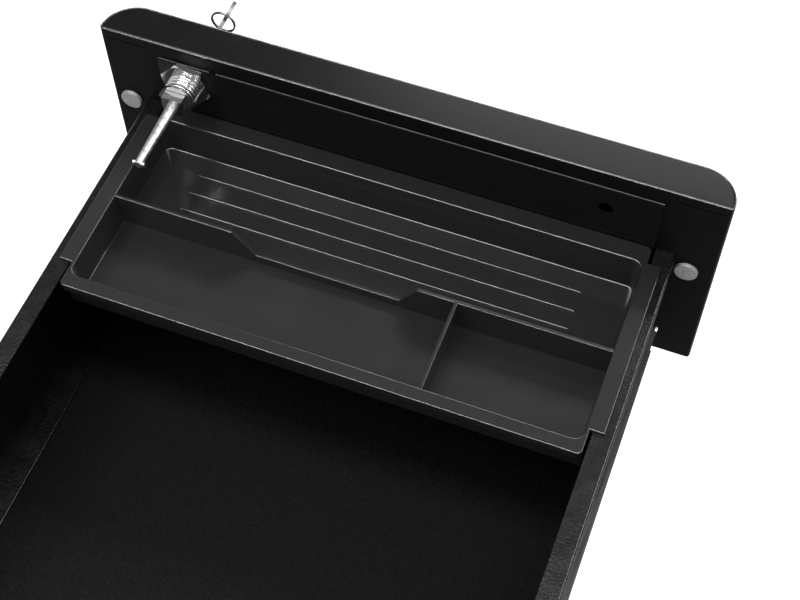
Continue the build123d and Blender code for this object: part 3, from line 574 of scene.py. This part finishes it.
for drawer in DRAWERS:
    low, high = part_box(f"{drawer}_front_panel")
    front_points = points_of(f"{drawer}_front_panel")
    on_face = front_points[:, 1] < low.y + ON_PLANE
    on_back = front_points[:, 1] > high.y - ON_PLANE
    face_round, back_round = (high.x - np.abs(front_points[rows, 0]).max() for rows in (on_face, on_back))
    planes = (high.x - FOLD_RADIUS, low.y + FOLD_RADIUS, high.y - FOLD_RADIUS)
    path = outline(*planes, face_round - FOLD_RADIUS, back_round - FOLD_RADIUS)
    fold_grid = fold(path, high.z - FOLD_RADIUS)
    surface(f"{drawer}_fold_line", [fold_grid], fold_coat, f"{drawer}_drawer")
print("fold lines: corner radii", round(face_round * 1000, 2), "and", round(back_round * 1000, 2), "mm")

# %% [markdown]
# ## Rolled edges of the drawer walls
# Each drawer wall ends in a narrow foot on the floor, and the cut edge of the sheet is rolled over so that it
# does not scratch. Only a thin bright line shows of it. A bead with a round section is carried along the
# foot's inner edge, and it shrinks to a point at both ends.

# %% Foot edges
BEAD_RADIUS = 0.0006
BEAD_END = 0.01
BEAD_STEPS = 81
BEAD_SIDES = 12
FOOT_REACH = 0.0025


def bead(x, z, start, end):
    """Point = (x, y, z) + radius * swell(y) * (cos a, 0, sin a).

    swell is a quarter circle at each end and 1 between.
    """
    run = np.linspace(0.0, 1.0, BEAD_STEPS)[:, None]
    section = around(BEAD_SIDES)[None, :]
    y = start + (end - start) * run
    near = np.clip(np.minimum(y - start, end - y) / BEAD_END, 0.0, 1.0)
    swell = BEAD_RADIUS * np.sqrt(np.clip(1.0 - (1.0 - near) ** 2, 0.0, 1.0))
    ones = np.ones_like(section)
    return np.stack([x + swell * np.cos(section), y * ones, z + swell * np.sin(section)], axis=-1)


for drawer in DRAWERS:
    wall_points = points_of(f"{drawer}_side_walls")
    foot = wall_points[wall_points[:, 2] < wall_points[:, 2].min() + FOOT_REACH]
    foot_edge, foot_top = np.abs(foot[:, 0]).min(), foot[:, 2].max()
    start, end = foot[:, 1].min() + BEAD_END, foot[:, 1].max() - BEAD_END
    beads = [bead(side * foot_edge, foot_top - BEAD_RADIUS, start, end) for side in (-1.0, 1.0)]
    surface(f"{drawer}_foot_edges", beads, dimpled_coat, f"{drawer}_drawer")
print("foot edges", round(foot_edge * 1000, 2), "mm from the middle, height", round(foot_top * 1000, 2), "mm")

# %% [markdown]
# ## Tips on the slides
# The front end of each drawer slide is folded round to a small lug. The lug is pale zinc on the slide's black
# steel, a painted highlight: its light colour stands in for the glint of the slide's rounded end, which shows
# as a white point beside the tray. A sphere whose coordinates are squared off gives such a lug.

# %% Slide tips
LUG_SIDES = 24
LUG_RINGS = 15


def lug(centre, half):
    """Point = centre + half * (cos b cos a, cos b sin a, sin b), each factor squared off."""
    a = around(LUG_SIDES)[None, :]
    b = np.linspace(-np.pi / 2.0, np.pi / 2.0, LUG_RINGS)[:, None]
    level = squared(np.cos(b))
    level[[0, -1]] = 0.0
    ones = np.ones_like(a)
    sphere = [level * squared(np.cos(a)), level * squared(np.sin(a)), squared(np.sin(b)) * ones]
    return np.array(centre) + np.array(half) * np.stack(sphere, axis=-1)


TIP_HALF = (0.0009, 0.0016, 0.0011)
TIP_INSET = (0.6 * TIP_HALF[0], 0.5 * TIP_HALF[1], 0.4 * TIP_HALF[2])
for drawer in DRAWERS:
    low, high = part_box(f"{drawer}_slide_members")
    edges = (low.x + TIP_INSET[0], high.x - TIP_INSET[0])
    lugs = [lug((edge, low.y + TIP_INSET[1], high.z - TIP_INSET[2]), TIP_HALF) for edge in edges]
    # The pale zinc on the lugs is a painted glint.
    surface(f"{drawer}_slide_tips", lugs, zinc, f"{drawer}_drawer")
print("slide tips on", len(DRAWERS), "drawers")

# %% [markdown]
# ## Tyres
# The casters roll on soft rubber tyres with two grooves round the tread and small notches in the shoulders.
# The section is a squared-off oval carried round the axle, and the grooves and notches are dips in its outer
# half. They only sink in, so the wheel keeps its size and still stands on the floor.

# %% Tyres with a tread
TYRE_DEEP = 0.007
GROOVE = 0.0007
GROOVE_PLACE = 0.38
GROOVE_WIDE = 0.0009
SHOULDER = 0.66
NOTCHES = 36.0
NOTCH_STEEP = 3.0
NOTCH_START = 1.6
TREAD_FADE = 0.3
TYRE_STEPS = 144
TYRE_SIDES = 72


def tyre(centre, radius, half_wide):
    """Section: across = half * cos t, out = middle + depth * sin t, both squared off, less the dips.

    The section is turned about X.
    """
    turn_angle = around(TYRE_STEPS)[:, None]
    section = around(TYRE_SIDES)[None, :]
    half_deep = TYRE_DEEP / 2.0
    across = half_wide * squared(np.cos(section)) * np.ones_like(turn_angle)
    tread = np.clip(np.sin(section), 0.0, 1.0) ** TREAD_FADE
    groove = np.exp(-(((np.abs(across) - GROOVE_PLACE * half_wide) / GROOVE_WIDE) ** 2))
    notch = np.clip(NOTCH_STEEP * np.cos(NOTCHES * turn_angle) - NOTCH_START, 0.0, 1.0)
    dip = GROOVE * tread * np.maximum(groove, notch * (np.abs(across) > SHOULDER * half_wide))
    out = radius - half_deep + half_deep * squared(np.sin(section)) - dip
    place = [across, out * np.cos(turn_angle), out * np.sin(turn_angle)]
    return np.array(centre) + np.stack(place, axis=-1)


wheels = {corner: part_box(f"caster_wheel_{corner}") for corner in CORNERS}
for corner, (low, high) in wheels.items():
    middle = (low + high) / 2.0
    wheel_radius = (high.z - low.z) / 2.0
    tread_grid = tyre(middle, wheel_radius, (high.x - low.x) / 2.0)
    piece = surface(f"caster_tyre_{corner}", [tread_grid], tyre_rubber, f"wheel_{corner}")
    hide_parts(f"caster_wheel_{corner}")
print("tyres:", len(wheels), "of radius", round(wheel_radius * 1000, 1), "mm")

# %% [markdown]
# ## Wheel hubs
# Inside each tyre is a moulded nylon hub: a boss round the axle, a thin web with six ribs, and a rim that
# carries the tyre. One function gives the half thickness at every radius and angle. The grid runs out along
# one face and back along the other, so the bore and the rim close by themselves.

# %% Ribbed hubs
AXLE_BORE = 0.0042
BOSS_RADIUS = 0.008
SOFT_STEP = 0.000225
WEB_HALF = 0.0042
RIB_RISE = 0.0016
RIBS = 6.0
RIB_STEEP = 4.0
RIB_START = 2.8
RIM_WIDE = 0.0016
RIM_SHARE = 0.85
HUB_LAP = 0.0004
FACE_RINGS = 30
HUB_SIDES = 120
HUB_SHARP = 50.0
hub_nylon = new_finish("grey_hub_nylon", (0.09, 0.09, 0.093), Specular_IOR_Level=0.45)
flow = grain(hub_nylon, 900.0)
tint(hub_nylon, flow, (0.075, 0.075, 0.078), (0.105, 0.105, 0.108))
polish(hub_nylon, flow, 0.38, 0.5)


def hub(centre, rim_radius, half_wide):
    """Half thickness = web + ribs + boss at the bore + rim at the tyre.

    Boss and rim are each switched on by a smooth step in radius.
    """
    turn_angle = around(HUB_SIDES)[:, None]
    outward = np.linspace(AXLE_BORE, rim_radius, FACE_RINGS)
    radius = np.concatenate([outward, outward[::-1]])[None, :]
    side = np.repeat([1.0, -1.0], FACE_RINGS)[None, :]
    boss = 1.0 / (1.0 + np.exp((radius - BOSS_RADIUS) / SOFT_STEP))
    rim = 1.0 / (1.0 + np.exp((rim_radius - RIM_WIDE - radius) / SOFT_STEP))
    ribs = np.clip(RIB_STEEP * np.cos(RIBS * turn_angle) - RIB_START, 0.0, 1.0)
    web = WEB_HALF + RIB_RISE * ribs
    half = web + (half_wide - WEB_HALF - RIB_RISE) * np.maximum(boss, RIM_SHARE * rim)
    place = [side * half, radius * np.cos(turn_angle), radius * np.sin(turn_angle)]
    return np.array(centre) + np.stack(place, axis=-1)


for corner, (low, high) in wheels.items():
    hub_grid = hub((low + high) / 2.0, wheel_radius - TYRE_DEEP + HUB_LAP, (high.x - low.x) / 2.0)
    surface(f"caster_hub_{corner}", [hub_grid], hub_nylon, f"wheel_{corner}", sharp=HUB_SHARP)
print("hubs with six ribs:", len(wheels))

# %% [markdown]
# ## Dust skirts over the swivels
# The balls of each swivel run under a thin pressed skirt that keeps dust out. It flares like a bell, so its
# section is a parabola: the radius grows with the square of the way down. The skirt stays on the plate while
# the fork turns below it.

# %% Swivel skirts
CASTER_TRAIL = 0.018
SKIRT_TOP = 0.0205
SKIRT_FLARE = 0.0022
SKIRT_SHEET = 0.0007
SKIRT_GAP = 0.0009
SKIRT_RINGS = 12
SKIRT_SIDES = 96
PLATE_SHEET = 0.002


def skirt(x, y, high, low):
    """Inside: radius = top + flare * s^2 at height high - drop * s; the outside is that plus the sheet."""
    turn_angle = around(SKIRT_SIDES)[:, None]
    down = np.linspace(0.0, 1.0, SKIRT_RINGS)
    s = np.concatenate([down, down[::-1]])[None, :]
    sheet = np.repeat([SKIRT_SHEET, 0.0], SKIRT_RINGS)[None, :]
    radius = SKIRT_TOP + SKIRT_FLARE * s * s + sheet
    height = (high + (low - high) * s) * np.ones_like(turn_angle)
    return np.stack([x + radius * np.cos(turn_angle), y + radius * np.sin(turn_angle), height], axis=-1)


plate_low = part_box("caster_plates")[1].z - PLATE_SHEET
for corner, (low, high) in wheels.items():
    swivel_x = (low.x + high.x) / 2.0
    swivel_y = (low.y + high.y) / 2.0 - CASTER_TRAIL
    skirt_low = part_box(f"caster_fork_{corner}")[1].z + SKIRT_GAP
    skirt_grid = skirt(swivel_x, swivel_y, plate_low, skirt_low)
    surface(f"swivel_skirt_{corner}", [skirt_grid], zinc, "cabinet")
print("swivel skirts:", len(wheels), "from", round(plate_low, 4), "m down to", round(skirt_low, 4), "m")

# %% [markdown]
# ## The camera
# The photograph looks down into the drawer from behind its left side at about 57 degrees. The camera is
# placed from two measured planes, the one behind the front, where the drawer's floor starts, and the front's
# top, so it stays right if the cart is resized. A long lens keeps the front's edges nearly parallel, as they
# are in the photograph.

# %% Camera
back_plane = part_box("top_floor")[0].y
front_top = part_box("top_front_panel")[1].z
CAMERA_ROLL = math.radians(-0.44)
CAMERA_LENS = 66.49
CAMERA_FROM = Vector((-0.1956, 0.5145, 0.6558))
AIM_FROM = Vector((-0.0313, 0.0877, -0.052))
front_edge = Vector((0.0, back_plane, front_top))
camera = bpy.data.objects.new("camera", bpy.data.cameras.new("camera"))
scene.collection.objects.link(camera)
camera.data.sensor_width = 36.0
camera.data.lens = CAMERA_LENS
camera.location = front_edge + CAMERA_FROM
turn = (front_edge + AIM_FROM - camera.location).to_track_quat("-Z", "Y").to_matrix()
camera.rotation_euler = (turn @ Matrix.Rotation(CAMERA_ROLL, 3, "Z")).to_euler()
scene.camera = camera
print("camera at", tuple(round(value, 4) for value in camera.location), "lens", camera.data.lens)

# %% [markdown]
# ## White room
# The photograph has a plain white background. The world is white where the camera or a reflection looks at
# it, and dimmer as a light, so black paint stays black. Overhead it falls off to a dim ceiling, as in a
# studio: flat tops then mirror the lamps and not a white sky.

# %% Which rays see the white
def seen_directly(tree, reflected=1.0):
    """1 for rays from the camera or through glass, and 0 for rays that light the cart.

    Mirrored rays get the value of reflected.
    """
    path = tree.nodes.new("ShaderNodeLightPath")
    share = tree.nodes.new("ShaderNodeMath")
    share.operation = "MULTIPLY"
    share.inputs[1].default_value = reflected
    glossy = tree.nodes.new("ShaderNodeMath")
    glossy.operation = "MAXIMUM"
    clear = tree.nodes.new("ShaderNodeMath")
    clear.operation = "MAXIMUM"
    tree.links.new(path.outputs["Is Glossy Ray"], share.inputs[0])
    tree.links.new(path.outputs["Is Camera Ray"], glossy.inputs[0])
    tree.links.new(share.outputs["Value"], glossy.inputs[1])
    tree.links.new(glossy.outputs["Value"], clear.inputs[0])
    tree.links.new(path.outputs["Is Transmission Ray"], clear.inputs[1])
    return clear.outputs["Value"]


print("white is seen by camera, mirrored and clear rays")

# %% World
WORLD_LIGHT = 0.5
CEILING_STARTS = 0.3
CEILING_ENDS = 0.75
CEILING_DIM = 0.2
world = bpy.data.worlds.new("white_room")
scene.world = world
world.use_nodes = True
sky = world.node_tree.nodes["Background"]
sky.inputs["Color"].default_value = (1.0, 1.0, 1.0, 1.0)
direction = world.node_tree.nodes.new("ShaderNodeTexCoord")
upward = world.node_tree.nodes.new("ShaderNodeSeparateXYZ")
ceiling = world.node_tree.nodes.new("ShaderNodeMapRange")
ceiling.inputs["From Min"].default_value = CEILING_STARTS
ceiling.inputs["From Max"].default_value = CEILING_ENDS
ceiling.inputs["To Min"].default_value = 1.0
ceiling.inputs["To Max"].default_value = CEILING_DIM
level = world.node_tree.nodes.new("ShaderNodeMapRange")
level.inputs["To Min"].default_value = WORLD_LIGHT
world.node_tree.links.new(direction.outputs["Generated"], upward.inputs["Vector"])
world.node_tree.links.new(upward.outputs["Z"], ceiling.inputs["Value"])
world.node_tree.links.new(seen_directly(world.node_tree), level.inputs["Value"])
world.node_tree.links.new(ceiling.outputs["Result"], level.inputs["To Max"])
world.node_tree.links.new(level.outputs["Result"], sky.inputs["Strength"])
scene.view_settings.view_transform = "Standard"
print("world: 1 where it is seen, falling to", CEILING_DIM, "overhead, and", WORLD_LIGHT, "as light")

# %% [markdown]
# ## The floor
# A sheet of pale paper would do in a studio, and here it is one large square. It gives some white of its own,
# much of it to the camera and less to mirrored rays, so it runs into the background, and it still takes the
# cart's soft shadow.

# %% Floor
FLOOR_HALF = 6.0
FLOOR_WHITE = 0.6
FLOOR_MIRRORED = 0.25
floor_mesh = bpy.data.meshes.new("floor")
sides = [(-1, -1), (1, -1), (1, 1), (-1, 1)]
floor_mesh.from_pydata([(FLOOR_HALF * x, FLOOR_HALF * y, 0.0) for x, y in sides], [], [(0, 1, 2, 3)])
studio_floor = bpy.data.objects.new("studio_floor", floor_mesh)
scene.collection.objects.link(studio_floor)
floor_paper = new_finish("floor_paper", (0.8, 0.8, 0.8), Roughness=0.9, Specular_IOR_Level=0.0)
tint(floor_paper, grain(floor_paper, 40.0), (0.79, 0.79, 0.79), (0.81, 0.81, 0.81))
floor_tree = floor_paper.node_tree
own_white = floor_tree.nodes.new("ShaderNodeMath")
own_white.operation = "MULTIPLY"
own_white.inputs[1].default_value = FLOOR_WHITE
floor_tree.links.new(seen_directly(floor_tree, reflected=FLOOR_MIRRORED), own_white.inputs[0])
floor_shader = floor_tree.nodes["Principled BSDF"]
floor_shader.inputs["Emission Color"].default_value = (1.0, 1.0, 1.0, 1.0)
floor_tree.links.new(own_white.outputs["Value"], floor_shader.inputs["Emission Strength"])
floor_mesh.materials.append(floor_paper)
print("floor:", 2.0 * FLOOR_HALF, "m square")

# %% [markdown]
# ## Soft studio light
# Black paint shows lamps, not light. A long, narrow lamp straight overhead draws a thin bright line along
# every rounded edge, because each rounding turns through the one direction that mirrors it. It is left out of
# the diffuse light, so the flat paint beside the line stays black. A lamp at one side does the same for the
# edges that run along the drawer: the bends of its walls, the ends of the tray and the cross divider. A lamp
# beyond the front is mirrored in the front's top, more at the picture's right, and a weak one fills from the
# other side.

# %% Lamps
LAMP_AIM = front_edge + Vector((0.0, 0.1, -0.1))


def soft_lamp(name, place_from, wide, deep, power, lines_only=False):
    """A rectangular area lamp, placed from the front's edge; lines_only keeps it out of the diffuse light."""
    data = bpy.data.lights.new(name, "AREA")
    data.shape = "RECTANGLE"
    data.size = wide
    data.size_y = deep
    data.energy = power
    lamp = bpy.data.objects.new(name, data)
    lamp.location = front_edge + Vector(place_from)
    lamp.rotation_euler = (LAMP_AIM - lamp.location).to_track_quat("-Z", "Y").to_euler()
    lamp.visible_camera = False
    lamp.visible_diffuse = not lines_only
    scene.collection.objects.link(lamp)
    return lamp


lamps = [
    soft_lamp("edge_lamp", (0.0, 0.2, 1.9), wide=2.4, deep=0.5, power=230.0, lines_only=True),
    soft_lamp("front_lamp", (0.0, -1.45, 1.33), wide=1.1, deep=0.5, power=29.0),
    soft_lamp("fill_lamp", (0.9, 0.8, 1.6), wide=1.2, deep=1.2, power=6.0),
    soft_lamp("side_lamp", (-1.55, -0.55, 0.9), wide=1.5, deep=0.4, power=45.0, lines_only=True),
]
print("lamps:", [lamp.name for lamp in lamps])
